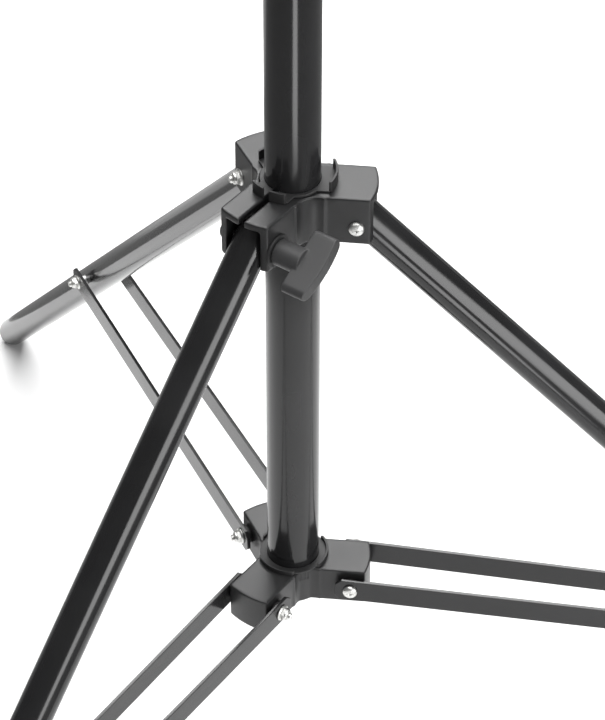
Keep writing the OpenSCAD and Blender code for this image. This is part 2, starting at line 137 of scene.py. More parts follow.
class StandColours(bpy.types.PropertyGroup):
    """Base colours of the finishes"""

    gloss_black: FloatVectorProperty(
        name="Gloss black", description="Powder coat on the mast and legs", subtype="COLOR",
        default=(0.012, 0.012, 0.0125), min=0, max=1)
    cast_black: FloatVectorProperty(
        name="Cast black", description="Satin coat on the collar, spider and mast head", subtype="COLOR",
        default=(0.014, 0.014, 0.0145), min=0, max=1)
    bar_black: FloatVectorProperty(
        name="Bar black", description="Paint on the braces and the winch", subtype="COLOR",
        default=(0.018, 0.018, 0.0185), min=0, max=1)
    moulded_black: FloatVectorProperty(
        name="Moulded black", description="Plastic of the bushes, the knob and the handle", subtype="COLOR",
        default=(0.052, 0.052, 0.053), min=0, max=1)
    zinc: FloatVectorProperty(
        name="Zinc", description="Plate on the bolts, nuts and screws", subtype="COLOR",
        default=(0.80, 0.80, 0.78), min=0, max=1)
    floor: FloatVectorProperty(
        name="Floor", description="Studio floor", subtype="COLOR", default=(0.93, 0.93, 0.93), min=0, max=1)


class StudioSettings(bpy.types.PropertyGroup):
    """Camera, light, and the glowing cards that paint reflections"""

    camera_place: FloatVectorProperty(
        name="Camera place", description="Where the camera stands", subtype="TRANSLATION",
        default=(0.1630, -1.4793, 1.7182))
    camera_tilt: FloatProperty(
        name="Camera tilt", description="Angle below the horizon", subtype="ANGLE",
        default=math.radians(40.34))
    camera_heading: FloatProperty(
        name="Camera heading", description="Turn about the vertical", subtype="ANGLE",
        default=math.radians(6.05))
    camera_roll: FloatProperty(
        name="Camera roll", description="Turn about the line of sight", subtype="ANGLE",
        default=math.radians(0.125))
    lens: FloatProperty(
        name="Lens", description="Focal length in millimetres", default=151.2, min=20, max=300)
    top: FloatProperty(name="Top light", description="Brightness of the softbox overhead", default=4.6, min=0)
    back: FloatProperty(name="Back light", description="Brightness of the softbox behind", default=9, min=0)
    right: FloatProperty(name="Right light", description="Brightness of the low softbox", default=6, min=0)
    # A dim glowing ring over the floor, seen only in reflections: a painted dark reflection in place of the
    # bright floor.
    flag: FloatProperty(name="Dark reflection", description="Brightness of the dark card", default=0.33, min=0)
    # A bright glowing card low in front, seen only in reflections: painted reflection streaks on the tubes.
    reflection_glow: FloatProperty(name="Reflection glow", description="Brightness of the low card", default=5.8, min=0)
    # A glowing card behind the stand, seen only in reflections: a painted reflection.
    far_card: FloatProperty(name="Far card", description="Brightness of the card behind", default=0.75, min=0)
    sky: FloatProperty(name="Sky", description="Brightness of the surroundings", default=0.12, min=0, max=3)


# ---- Modelling helpers ----


def only(piece):
    """Leaves one object selected and active."""
    if bpy.context.object and bpy.context.object.mode != "OBJECT":
        bpy.ops.object.mode_set(mode="OBJECT")
    bpy.ops.object.select_all(action="DESELECT")
    piece.select_set(True)
    bpy.context.view_layer.objects.active = piece


def finish_modifier(piece, kind, **settings):
    """Adds a modifier, sets it and applies it."""
    only(piece)
    modifier = piece.modifiers.new(kind.title(), kind)
    for name, value in settings.items():
        setattr(modifier, name, value)
    bpy.ops.object.modifier_apply(modifier=modifier.name)


def even_shading(piece, angle=35):
    """Smooth shading that keeps flat faces flat."""
    only(piece)
    bpy.ops.object.shade_smooth_by_angle(angle=math.radians(angle))
    finish_modifier(piece, "WEIGHTED_NORMAL", keep_sharp=True)


def round_edges(piece, radius, segments):
    """Rounds the outward edges that turn sharply."""
    only(piece)
    bpy.ops.object.mode_set(mode="EDIT")
    bpy.ops.mesh.select_mode(type="EDGE")
    bpy.ops.mesh.select_all(action="DESELECT")
    mesh = bmesh.from_edit_mesh(piece.data)
    sharp = math.radians(38)
    for edge in mesh.edges:
        edge.select = edge.calc_face_angle_signed(0) > sharp
    mesh.select_flush_mode()
    bmesh.update_edit_mesh(piece.data)
    bpy.ops.mesh.bevel(
        offset=radius, segments=segments, profile=0.5, affect="EDGES", clamp_overlap=False)
    bpy.ops.object.mode_set(mode="OBJECT")
    even_shading(piece)


def softened(piece, voxel, passes, share):
    """Blends a solid's edges and inner corners, as a mould does."""
    finish_modifier(piece, "REMESH", mode="VOXEL", voxel_size=voxel)
    finish_modifier(piece, "SMOOTH", factor=0.5, iterations=passes)
    finish_modifier(piece, "DECIMATE", ratio=share)
    only(piece)
    bpy.ops.object.shade_smooth()


def copy_of(node, name):
    """A merged copy of a CAD node, its flat faces whole."""
    piece = bpy.data.objects.new(name, frame["nodes"][node].data.copy())
    bpy.context.scene.collection.objects.link(piece)
    piece.data.materials.clear()
    only(piece)
    if piece.data.has_custom_normals:
        bpy.ops.mesh.customdata_custom_splitnormals_clear()
    bpy.ops.object.mode_set(mode="EDIT")
    bpy.ops.mesh.select_all(action="SELECT")
    bpy.ops.mesh.remove_doubles(threshold=0.004 * MM)
    bpy.ops.mesh.mark_sharp(clear=True)
    bpy.ops.mesh.dissolve_limited(angle_limit=math.radians(0.6))
    bpy.ops.object.mode_set(mode="OBJECT")
    return piece


def turned(name, profile, sides=40, hollow=False):
    """A solid turned about Z, from one (radius, height) to the next; a hollow one ends where it began."""
    radius, height = profile[0]
    bpy.ops.object.select_all(action="DESELECT")
    fill = "NOTHING" if hollow else "NGON"
    bpy.ops.mesh.primitive_circle_add(vertices=sides, radius=radius, fill_type=fill, location=(0, 0, height))
    piece = bpy.context.object
    piece.name = name
    bpy.ops.object.transform_apply(location=True, rotation=True, scale=True)
    bpy.ops.object.mode_set(mode="EDIT")
    bpy.ops.mesh.select_all(action="SELECT")
    for next_radius, next_height in profile[1:] + (profile[:1] if hollow else []):
        bpy.ops.mesh.extrude_region_move(TRANSFORM_OT_translate={"value": (0, 0, next_height - height)})
        scale = next_radius / radius
        bpy.ops.transform.resize(value=(scale, scale, 1), center_override=(0, 0, next_height))
        radius, height = next_radius, next_height
    bpy.ops.mesh.select_all(action="SELECT")
    bpy.ops.mesh.remove_doubles(threshold=0.002 * MM)
    bpy.ops.mesh.normals_make_consistent(inside=False)
    bpy.ops.object.mode_set(mode="OBJECT")
    even_shading(piece)
    return piece


def cut(piece, tool):
    """Cuts one solid out of another and removes the tool."""
    finish_modifier(piece, "BOOLEAN", operation="DIFFERENCE", object=tool, solver="EXACT")
    bpy.data.objects.remove(tool)


def placed(master, matrix):
    """A copy of a finished master with its place in its mesh."""
    piece = bpy.data.objects.new("copy", master.data.copy())
    bpy.context.scene.collection.objects.link(piece)
    piece.data.transform(matrix)
    return piece


def joined(pieces, name):
    """One object of several."""
    only(pieces[0])
    for piece in pieces[1:]:
        piece.select_set(True)
    if len(pieces) > 1:
        bpy.ops.object.join()
    pieces[0].name = name
    return pieces[0]


def stands_for(piece, node, finish):
    """The piece takes a CAD node's place, body and slot, and gets its finish."""
    piece.data.materials.clear()
    piece.data.materials.append(finish)
    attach(piece, BODY_OF[node])
    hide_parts(node)


def centre_of(node):
    low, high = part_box(node)
    return (low + high) / 2


# ---- Shader sums ----


class Wire:
    """A socket that takes part in sums; each sum adds its Math node."""

    def __init__(self, tree, socket):
        self.tree = tree
        self.socket = socket

    def sum(self, operation, *values):
        node = self.tree.nodes.new("ShaderNodeMath")
        node.operation = operation
        for place, value in enumerate(values):
            if isinstance(value, Wire):
                self.tree.links.new(value.socket, node.inputs[place])
            else:
                node.inputs[place].default_value = value
        return Wire(self.tree, node.outputs[0])

    def __add__(self, other):
        return self.sum("ADD", self, other)

    def __mul__(self, other):
        return self.sum("MULTIPLY", self, other)

    __radd__ = __add__
    __rmul__ = __mul__


class Finish:
    """A material under construction round one Principled shader."""

    def __init__(self, name, **constants):
        self.material = bpy.data.materials.new(name)
        self.material.use_nodes = True
        self.tree = self.material.node_tree
        self.shader = next(n for n in self.tree.nodes if n.type == "BSDF_PRINCIPLED")
        for socket, value in constants.items():
            self.shader.inputs[socket.replace("_", " ")].default_value = value
        self.place = self.node("ShaderNodeTexCoord").outputs["Object"]

    def node(self, kind, settings=None, **values):
        """A node of a type: its settings first, then the values or links of its sockets."""
        node = self.tree.nodes.new(kind)
        for name, value in (settings or {}).items():
            setattr(node, name, value)
        for name, value in values.items():
            socket = node.inputs[name.replace("_", " ")]
            if isinstance(value, Wire):
                self.tree.links.new(value.socket, socket)
            elif isinstance(value, bpy.types.NodeSocket):
                self.tree.links.new(value, socket)
            else:
                socket.default_value = value
        return node

    def noise(self, scale, detail=3, roughness=0.5):
        """Noise from 0 to 1 with a feature size of one over scale metres."""
        node = self.node(
            "ShaderNodeTexNoise", Vector=self.place, Scale=scale, Detail=detail, Roughness=roughness)
        return Wire(self.tree, node.outputs["Fac"])

    def ramp(self, value, low, high):
        """Where a value stands between two limits, from 0 to 1."""
        node = self.node(
            "ShaderNodeMapRange", {"interpolation_type": "SMOOTHSTEP"},
            Value=value, From_Min=low, From_Max=high)
        return Wire(self.tree, node.outputs["Result"])

    def mix(self, factor, first, second):
        """A colour between two, by the sockets that the node has for colours."""
        node = self.tree.nodes.new("ShaderNodeMix")
        node.data_type = "RGBA"
        self.tree.links.new(factor.socket, node.inputs[0])
        node.inputs[6].default_value = (*first, 1)
        node.inputs[7].default_value = (*second, 1)
        return Wire(self.tree, node.outputs[2])

    def feed(self, socket, wire):
        self.tree.links.new(wire.socket, self.shader.inputs[socket])

    def bump(self, height, distance, strength=1.0, normal=None):
        """Relief of a height from 0 to 1, so deep in metres."""
        node = self.node("ShaderNodeBump", Height=height, Distance=distance, Strength=strength)
        if normal is not None:
            self.tree.links.new(normal.socket, node.inputs["Normal"])
        return Wire(self.tree, node.outputs["Normal"])


def shade(colour, times):
    """A colour made lighter or darker."""
    return tuple(min(1.0, c * times) for c in colour)


def gloss_paint(name, colour):
    """Gloss powder coat: deep black, a slight orange peel and faint handling haze."""
    finish = Finish(name, Specular_IOR_Level=0.42, Coat_Weight=0.08, Coat_Roughness=0.06)
    haze = finish.noise(14, 4)
    finish.feed("Base Color", finish.mix(finish.ramp(haze, 0.35, 0.7), colour, shade(colour, 1.5)))
    finish.feed("Roughness", 0.14 + 0.05 * finish.ramp(haze, 0.4, 0.75) + 0.02 * finish.noise(900, 2))
    finish.feed("Normal", finish.bump(finish.noise(330, 2), 0.006 * MM, 0.5))
    return finish.material


def cast_paint(name, colour):
    """Satin coat over a casting: fine grain over soft clouds and ripples."""
    finish = Finish(name, Specular_IOR_Level=0.5)
    clouds = finish.noise(45, 4)
    grains = finish.noise(1900, 3, 0.6)
    cloud_share = finish.ramp(clouds, 0.3, 0.75)
    finish.feed("Base Color", finish.mix(cloud_share, shade(colour, 0.85), shade(colour, 1.3)))
    finish.feed("Roughness", 0.3 + 0.12 * clouds + 0.06 * grains)
    ripples = finish.bump(finish.noise(160, 2), 0.05 * MM, 0.5)
    finish.feed("Normal", finish.bump(grains, 0.03 * MM, 0.6, ripples))
    return finish.material


def bar_paint(name, colour):
    """Semi-gloss paint on flat steel, with faint haze and ripples."""
    finish = Finish(name, Specular_IOR_Level=0.4)
    haze = finish.noise(30, 4)
    finish.feed("Base Color", finish.mix(haze, shade(colour, 0.8), shade(colour, 1.3)))
    finish.feed("Roughness", 0.13 + 0.06 * finish.ramp(haze, 0.35, 0.7) + 0.03 * finish.noise(700, 2))
    finish.feed("Normal", finish.bump(finish.noise(420, 2), 0.02 * MM, 0.6))
    return finish.material


def plated(name, colour, roughness=0.36):
    """Bright zinc plate: finely pitted metal with a few dull patches."""
    finish = Finish(name, Metallic=1.0)
    patches = finish.noise(260, 4)
    finish.feed("Base Color", finish.mix(finish.ramp(patches, 0.35, 0.7), colour, shade(colour, 0.82)))
    dullness = 0.14 * finish.ramp(patches, 0.45, 0.75)
    finish.feed("Roughness", roughness + dullness + 0.05 * finish.noise(3000, 2))
    finish.feed("Normal", finish.bump(finish.noise(1500, 3), 0.003 * MM, 0.5))
    return finish.material


def turned_metal(name, colour, roughness=0.3):
    """Bare machined or drawn metal with fine rings across Z."""
    finish = Finish(name, Metallic=1.0)
    stretch = finish.node("ShaderNodeMapping", Vector=finish.place, Scale=(20, 20, 2600))
    noise = finish.node("ShaderNodeTexNoise", Vector=stretch.outputs["Vector"], Scale=1.0, Detail=2)
    rings = Wire(finish.tree, noise.outputs["Fac"])
    haze = finish.noise(40, 4)
    finish.feed("Base Color", finish.mix(haze, shade(colour, 0.9), shade(colour, 1.08)))
    finish.feed("Roughness", roughness + 0.10 * haze + 0.08 * rings)
    finish.feed("Normal", finish.bump(rings, 0.01 * MM, 0.4))
    return finish.material


def moulded(name, colour, roughness=0.5):
    """Moulded plastic with a fine spark-eroded texture."""
    finish = Finish(name, Specular_IOR_Level=0.45)
    clouds = finish.noise(60, 3)
    grains = finish.noise(2600, 2)
    finish.feed("Base Color", finish.mix(clouds, shade(colour, 0.85), shade(colour, 1.25)))
    finish.feed("Roughness", roughness + 0.1 * clouds + 0.08 * grains)
    finish.feed("Normal", finish.bump(grains, 0.03 * MM, 0.6))
    return finish.material


def rubber(name, colour):
    """Dull rubber with dust in its pores."""
    finish = Finish(name, Specular_IOR_Level=0.35)
    dust = finish.noise(500, 4)
    finish.feed("Base Color", finish.mix(finish.ramp(dust, 0.5, 0.8), colour, shade(colour, 3)))
    finish.feed("Roughness", 0.62 + 0.2 * dust)
    finish.feed("Normal", finish.bump(dust, 0.06 * MM, 0.6))
    return finish.material


def lining_stuff(name, colour):
    """Pressed friction lining: speckled fibres."""
    finish = Finish(name, Specular_IOR_Level=0.3)
    fibres = finish.noise(1400, 4)
    speckle = finish.ramp(fibres, 0.4, 0.65)
    finish.feed("Base Color", finish.mix(speckle, shade(colour, 0.6), shade(colour, 1.5)))
    finish.feed("Roughness", 0.75 + 0.15 * fibres)
    finish.feed("Normal", finish.bump(fibres, 0.08 * MM, 0.8))
    return finish.material


def make_finishes():
    """Every finish by the name of its slot in the record."""
    colours = bpy.context.scene.stand_colours
    slot_colour = {m["slot"]: tuple(m["base_color"][:3]) for m in frame["record"]["materials"]}
    return {
        "black_paint": gloss_paint("gloss black powder coat", tuple(colours.gloss_black)),
        "black_casting": cast_paint("satin black casting", tuple(colours.cast_black)),
        "bush_plastic": moulded("black bush plastic", shade(colours.moulded_black, 0.4), 0.42),
        "knob_plastic": moulded("black knob plastic", shade(colours.moulded_black, 0.75), 0.4),
        "grip_plastic": moulded("black grip plastic", tuple(colours.moulded_black), 0.5),
        "zinc": plated("bright zinc plate", tuple(colours.zinc)),
        "dark_steel": turned_metal("plain steel", slot_colour["dark_steel"], 0.35),
        "pale_plastic": moulded("natural acetal", slot_colour["pale_plastic"], 0.4),
        "aluminium": turned_metal("machined aluminium", slot_colour["aluminium"]),
        "silver_tube": turned_metal("satin anodised tube", slot_colour["silver_tube"], 0.36),
        "wire_rope": plated("galvanised wire", slot_colour["wire_rope"], 0.32),
        "black_sheet": bar_paint("semi-gloss black paint", tuple(colours.bar_black)),
        "bronze": turned_metal("sintered bronze", slot_colour["bronze"], 0.42),
        "lining": lining_stuff("friction lining", slot_colour["lining"]),
        "foot_rubber": rubber("black rubber", slot_colour["foot_rubber"]),
    }


FINISHES = {}


def finish_for(node):
    if not FINISHES:
        FINISHES.update(make_finishes())
    return FINISHES[SLOT_OF[node]]


# ---- Pieces ----


def joint(name):
    return next(j for j in frame["record"]["behaviour"]["joints"] if j["name"] == name)


def joint_place(name):
    return Vector(joint(name)["pos_m"])


def across(pivot, leg):
    """Carries a piece made along Z to a pivot, with Z across the leg's lobe."""
    return (
        Matrix.Translation(pivot) @ Matrix.Rotation(LOBE_TURN[leg], 4, "Z")
        @ Matrix.Rotation(-math.pi / 2, 4, "X"))


def brace_pivot(leg):
    return centre_of(f"leg_sleeve_{leg}")


class STAND_OT_castings(bpy.types.Operator):
    """Softens the leg collar and the spider, and rounds the mast head and the winch clamp"""

    bl_idname = "stand.castings"
    bl_label = "Castings"

    def execute(self, context):
        sizes = context.scene.stand_sizes
        for node in ("leg_collar", "lower_spider"):
            piece = copy_of(node, node + "_casting")
            softened(piece, voxel=0.33 * sizes.casting_round, passes=12, share=0.3)
            stands_for(piece, node, finish_for(node))
        for node in ("mast_head", "winch_saddle", "winch_strap"):
            piece = copy_of(node, node + "_casting")
            round_edges(piece, 0.45 * sizes.casting_round, segments=3)
            stands_for(piece, node, finish_for(node))
        return {"FINISHED"}


class STAND_OT_bushes(bpy.types.Operator):
    """Rounds the bushes and their lips, the spacers and the washer under the knob"""

    bl_idname = "stand.bushes"
    bl_label = "Bushes"

    def execute(self, context):
        edge = context.scene.stand_sizes.bush_round
        for node in ("collar_bush", "spider_ring", "spider_spacers", "clamp_washer"):
            piece = copy_of(node, node + "_moulding")
            round_edges(piece, edge, segments=2)
            stands_for(piece, node, finish_for(node))
        return {"FINISHED"}


class STAND_OT_knob(bpy.types.Operator):
    """Moulds the clamp knob, its wing blended into its hub"""

    bl_idname = "stand.knob"
    bl_label = "Clamp knob"

    def execute(self, context):
        piece = copy_of("clamp_knob", "clamp_knob_moulding")
        softened(piece, voxel=context.scene.stand_sizes.knob_blend, passes=7, share=0.35)
        stands_for(piece, "clamp_knob", finish_for("clamp_knob"))
        return {"FINISHED"}


class STAND_OT_fasteners(bpy.types.Operator):
    """Makes the pivot bolts with cross recesses and cut threads, and the flanged lock nuts"""

    bl_idname = "stand.fasteners"
    bl_label = "Fasteners"

    def head(self):
        """A pan head below z = 0 with a cross recess."""
        head = turned("pan_head", [
            (4.9 * MM, 0), (4.9 * MM, -0.7 * MM), (4.78 * MM, -1.3 * MM), (4.45 * MM, -1.9 * MM),
            (3.8 * MM, -2.45 * MM), (2.8 * MM, -2.85 * MM), (1.4 * MM, -3 * MM)], 36)
        arm_length, arm_width, arm_depth = 4.4, 0.75, 1.7
        tip_share = 0.55
        for turn in (0, math.pi / 2):
            bpy.ops.mesh.primitive_cube_add(size=MM, location=(0, 0, -2.9 * MM), rotation=(0, 0, turn))
            bar = bpy.context.object
            bar.scale = (arm_length, arm_width, arm_depth)
            bpy.ops.object.transform_apply(location=True, rotation=True, scale=True)
            bpy.ops.object.mode_set(mode="EDIT")
            bpy.ops.mesh.select_all(action="DESELECT")
            mesh = bmesh.from_edit_mesh(bar.data)
            for vertex in mesh.verts:
                vertex.select = vertex.co.z > -2.5 * MM
            mesh.select_flush_mode()
            bmesh.update_edit_mesh(bar.data)
            bpy.ops.transform.resize(value=(tip_share, tip_share, 1), center_override=(0, 0, 0))
            bpy.ops.object.mode_set(mode="OBJECT")
            cut(head, bar)
        even_shading(head, 30)
        return head

    def rod(self, low, high, tail):
        """A shank from low to high, with a cut thread from there to the tail."""
        sizes = bpy.context.scene.stand_sizes
        radius, pitch = sizes.bolt_radius, sizes.thread_pitch
        profile = [(radius, low), (radius, high)]
        for step in range(int((tail - 0.6 * MM) / pitch)):
            level = high + step * pitch
            profile += [(radius - 0.32 * MM, level + 0.35 * pitch), (radius, level + 0.8 * pitch)]
        if tail:
            profile.append((radius - 0.5 * MM, high + tail))
        return turned("shank", profile, 28)

    def nut(self, seat):
        """A flanged hexagon nut above the seat, with a domed locking ring."""
        flange = turned("flange", [
            (2.5 * MM, seat), (5.6 * MM, seat), (5.6 * MM, seat + 0.6 * MM), (4.9 * MM, seat + 1.3 * MM),
            (2.5 * MM, seat + 1.3 * MM)], 36, hollow=True)
        body = turned("hexagon", [
            (4.1 * MM, seat + 1.0 * MM), (4.6 * MM, seat + 1.4 * MM), (4.6 * MM, seat + 3.3 * MM),
            (4.15 * MM, seat + 3.75 * MM)], 6)
        ring = turned("locking_ring", [
            (2.5 * MM, seat + 3.5 * MM), (3.9 * MM, seat + 3.6 * MM), (3.85 * MM, seat + 4.4 * MM),
            (3.5 * MM, seat + 4.95 * MM), (2.9 * MM, seat + 5.2 * MM), (2.5 * MM, seat + 4.9 * MM)],
            32, hollow=True)
        return joined([flange, body, ring], "lock_nut")

    def hang(self, master, node, places):
        copies = [placed(master, across(*place)) for place in places]
        stands_for(joined(copies, node + "_plated"), node, finish_for(node))

    def whole_bolt(self, reach, end, tail):
        """A bolt whose head is seated at minus reach."""
        head = self.head()
        head.data.transform(Matrix.Translation((0, 0, -reach)))
        return joined([head, self.rod(-reach, end, tail)], "bolt")

    def execute(self, context):
        sizes = context.scene.stand_sizes
        tail = sizes.thread_tail
        leg_at = {leg: (joint_place(f"leg_fold_{leg}"), leg) for leg in LEGS}
        spider_at = {leg: (joint_place(f"brace_fold_{leg}"), leg) for leg in LEGS}
        collar, spider, brace = sizes.collar_reach, sizes.spider_reach, sizes.brace_reach
        knob_length = 25.6 * MM
        stub = 2.6 * MM
        spare = []
        spare.append(self.whole_bolt(collar, collar, tail))
        self.hang(spare[-1], "collar_bolts", [leg_at[1], leg_at[2]])
        spare.append(self.nut(collar))
        self.hang(spare[-1], "collar_nuts", [leg_at[1], leg_at[2]])
        spare.append(self.whole_bolt(collar, collar + knob_length, 0))
        self.hang(spare[-1], "clamp_bolt", [leg_at[3]])
        spare.append(self.whole_bolt(spider, spider, tail))
        self.hang(spare[-1], "spider_bolts", list(spider_at.values()))
        spare.append(self.nut(spider))
        self.hang(spare[-1], "spider_nuts", list(spider_at.values()))
        screw = self.whole_bolt(brace, -brace + stub, 0)
        thread = joined([self.rod(brace - stub, brace, tail), self.nut(brace)], "nut_and_thread")
        spare += [screw, thread]
        for leg in LEGS:
            self.hang(screw, f"brace_screws_{leg}", [(brace_pivot(leg), leg)])
            self.hang(thread, f"brace_nuts_{leg}", [(brace_pivot(leg), leg)])
        for master in spare:
            bpy.data.objects.remove(master)
        return {"FINISHED"}


class STAND_OT_feet(bpy.types.Operator):
    """Turns the domed rubber plugs in the ends of the legs"""

    bl_idname = "stand.feet"
    bl_label = "Feet"

    def execute(self, context):
        for leg in LEGS:
            pivot = joint_place(f"leg_fold_{leg}")
            down = (brace_pivot(leg) - pivot).normalized()
            low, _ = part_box(f"leg_foot_{leg}")
            dome = 12 * MM
            end = (low.z + dome - pivot.z) / down.z
            plug = turned("plug", [
                (10.7 * MM, -20 * MM), (10.7 * MM, 0), (12 * MM, 0.05 * MM), (12 * MM, 0.9 * MM),
                (11.65 * MM, 1.15 * MM), (11.65 * MM, 1.5 * MM), (11.85 * MM, 1.8 * MM),
                (11.6 * MM, 3.1 * MM), (10.95 * MM, 4.9 * MM), (9.9 * MM, 6.8 * MM), (8.5 * MM, 8.45 * MM),
                (6.6 * MM, 10 * MM), (4.3 * MM, 11.2 * MM), (1.8 * MM, 11.85 * MM)], 48)
            turn = down.to_track_quat("Z", "Y").to_matrix().to_4x4()
            plug.data.transform(Matrix.Translation(pivot + end * down) @ turn)
            plug.name = f"leg_foot_{leg}_plug"
            stands_for(plug, f"leg_foot_{leg}", finish_for(f"leg_foot_{leg}"))
        return {"FINISHED"}


class STAND_OT_bars(bpy.types.Operator):
    """Takes the sharp edges off the brace bars, the winch's metalwork and the spigot"""

    bl_idname = "stand.bars"
    bl_label = "Braces and sheet metal"

    def execute(self, context):
        edge = context.scene.stand_sizes.bar_round
        braces = [f"brace_{side}_{leg}" for side in ("left", "right") for leg in LEGS]
        for node in braces + ["winch_frame", "winch_cover", "crank_arm", "cable_drum", "spigot_head"]:
            piece = copy_of(node, node + "_eased")
            round_edges(piece, edge, segments=2)
            stands_for(piece, node, finish_for(node))
        return {"FINISHED"}


class STAND_OT_grip(bpy.types.Operator):
    """Turns the crank's handle with rings to hold it by"""

    bl_idname = "stand.grip"
    bl_label = "Crank handle"

    def execute(self, context):
        low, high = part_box("crank_grip")
        middle = (low + high) / 2
        length = high.y - low.y
        fullest = (high.x - low.x) / 2
        bore = 4.05 * MM
        rings = context.scene.stand_sizes.grip_rings
        profile = [(bore, 0), (fullest - 3.4 * MM, 0), (fullest - 2.5 * MM, 0.9 * MM)]
        margin = 9 * MM
        first, last = margin, length - margin
        for ring in range(rings):
            level = first + (last - first) * ring / (rings - 1)
            swell = fullest - 2.2 * MM * (2 * level / length - 1) ** 2
            profile += [
                (swell, level - 2.4 * MM), (swell - 0.15 * MM, level - 1.5 * MM),
                (swell - 1.1 * MM, level - 1.0 * MM), (swell - 1.1 * MM, level + 1.0 * MM),
                (swell - 0.15 * MM, level + 1.5 * MM), (swell, level + 2.4 * MM)]
        profile += [(fullest - 2.5 * MM, length - 0.9 * MM), (fullest - 3.4 * MM, length), (bore, length)]
        grip = turned("crank_grip_ringed", profile, 48, hollow=True)
        grip.data.transform(
            Matrix.Translation((middle.x, low.y, middle.z)) @ Matrix.Rotation(-math.pi / 2, 4, "X"))
        stands_for(grip, "crank_grip", finish_for("crank_grip"))
        return {"FINISHED"}


class STAND_OT_cable(bpy.types.Operator):
    """Lays the stranded winch cable: up along the mast, over the pulley, down inside, round the drum"""

    bl_idname = "stand.cable"
    bl_label = "Winch cable"

    def rope(self, name, points, lay):
        """Strands wound round a row of points."""
        curve = bpy.data.curves.new(name, "CURVE")
        curve.dimensions = "3D"
        curve.bevel_depth = STRAND_RADIUS
        curve.bevel_resolution = 1
        curve.use_fill_caps = True
        gone = [0.0]
        for last, point in zip(points, points[1:]):
            gone.append(gone[-1] + (point - last).length)
        across_y = Vector((0, 1, 0))
        for strand in range(STRANDS):
            line = curve.splines.new("POLY")
            line.points.add(len(points) - 1)
            for step, point in enumerate(points):
                ahead = points[min(step + 1, len(points) - 1)] - points[max(step - 1, 0)]
                out = ahead.cross(across_y).normalized()
                turn = 2 * math.pi * (gone[step] / lay + strand / STRANDS)
                place = point + STRAND_CIRCLE * (math.cos(turn) * out + math.sin(turn) * across_y)
                line.points[step].co = (*place, 1)
        rope = bpy.data.objects.new(name, curve)
        bpy.context.scene.collection.objects.link(rope)
        only(rope)
        bpy.ops.object.convert(target="MESH")
        bpy.ops.object.shade_smooth()
        return bpy.context.object

    def outside(self, drum, pulley, lay):
        """From the drum up along the mast and half round the pulley."""
        low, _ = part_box("cable_outside")
        outer_x = low.x + ROPE_RADIUS
        radius = abs(pulley.x - outer_x)
        rise = pulley.z - drum.z
        count = int(rise / OUTSIDE_STEP)
        points = [Vector((outer_x, 0, drum.z + rise * step / count)) for step in range(count)]
        for step in range(PULLEY_STEPS + 1):
            turn = math.pi * step / PULLEY_STEPS
            points.append(pulley + radius * Vector((-math.cos(turn), 0, math.sin(turn))))
        rope = self.rope("cable_outside_rope", points, lay)
        stands_for(rope, "cable_outside", finish_for("cable_outside"))

    def inside(self, lay):
        """Down inside the mast to the riser's foot. The riser's lift would shorten it; the share that stays
        is worked out but not used.
        """
        low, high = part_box("cable_inside")
        middle_x = centre_of("cable_inside").x
        count = int((high.z - low.z) / INSIDE_STEP)
        gap = (high.z - low.z - 2 * ROPE_RADIUS) / count
        points = [Vector((middle_x, 0, low.z + ROPE_RADIUS + gap * step)) for step in range(count + 1)]
        rope = self.rope("cable_inside_rope", points, lay)
        stands_for(rope, "cable_inside", finish_for("cable_inside"))
        keep = 1 - joint("riser_lift")["range_m"][1] / (points[-1].z - points[0].z)
        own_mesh(rope)

    def winding(self, drum, lay):
        """The turns that stay on the drum."""
        low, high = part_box("drum_winding")
        coil = (high.x - low.x) / 2 - 0.98 * MM
        points = []
        for step in range(DRUM_TURNS * DRUM_STEPS + 1):
            share = step / DRUM_STEPS
            level = low.y + ROPE_RADIUS + (high.y - low.y - 2 * ROPE_RADIUS) * share / DRUM_TURNS
            turn = 2 * math.pi * share
            points.append(Vector((drum.x - coil * math.cos(turn), level, drum.z - coil * math.sin(turn))))
        rope = self.rope("drum_winding_rope", points, lay)
        stands_for(rope, "drum_winding", finish_for("drum_winding"))

    def execute(self, context):
        lay = context.scene.stand_sizes.rope_lay
        drum, pulley = joint_place("crank_turn"), joint_place("pulley_turn")
        self.outside(drum, pulley, lay)
        self.inside(lay)
        self.winding(drum, lay)
        return {"FINISHED"}


class STAND_OT_finishes(bpy.types.Operator):
    """Gives every CAD node its own finish"""

    bl_idname = "stand.finishes"
    bl_label = "Finishes"

    def execute(self, context):
        for node, shown in frame["nodes"].items():
            for place in range(len(shown.data.materials)):
                shown.data.materials[place] = finish_for(node)
            if not shown.data.materials:
                shown.data.materials.append(finish_for(node))
        return {"FINISHED"}


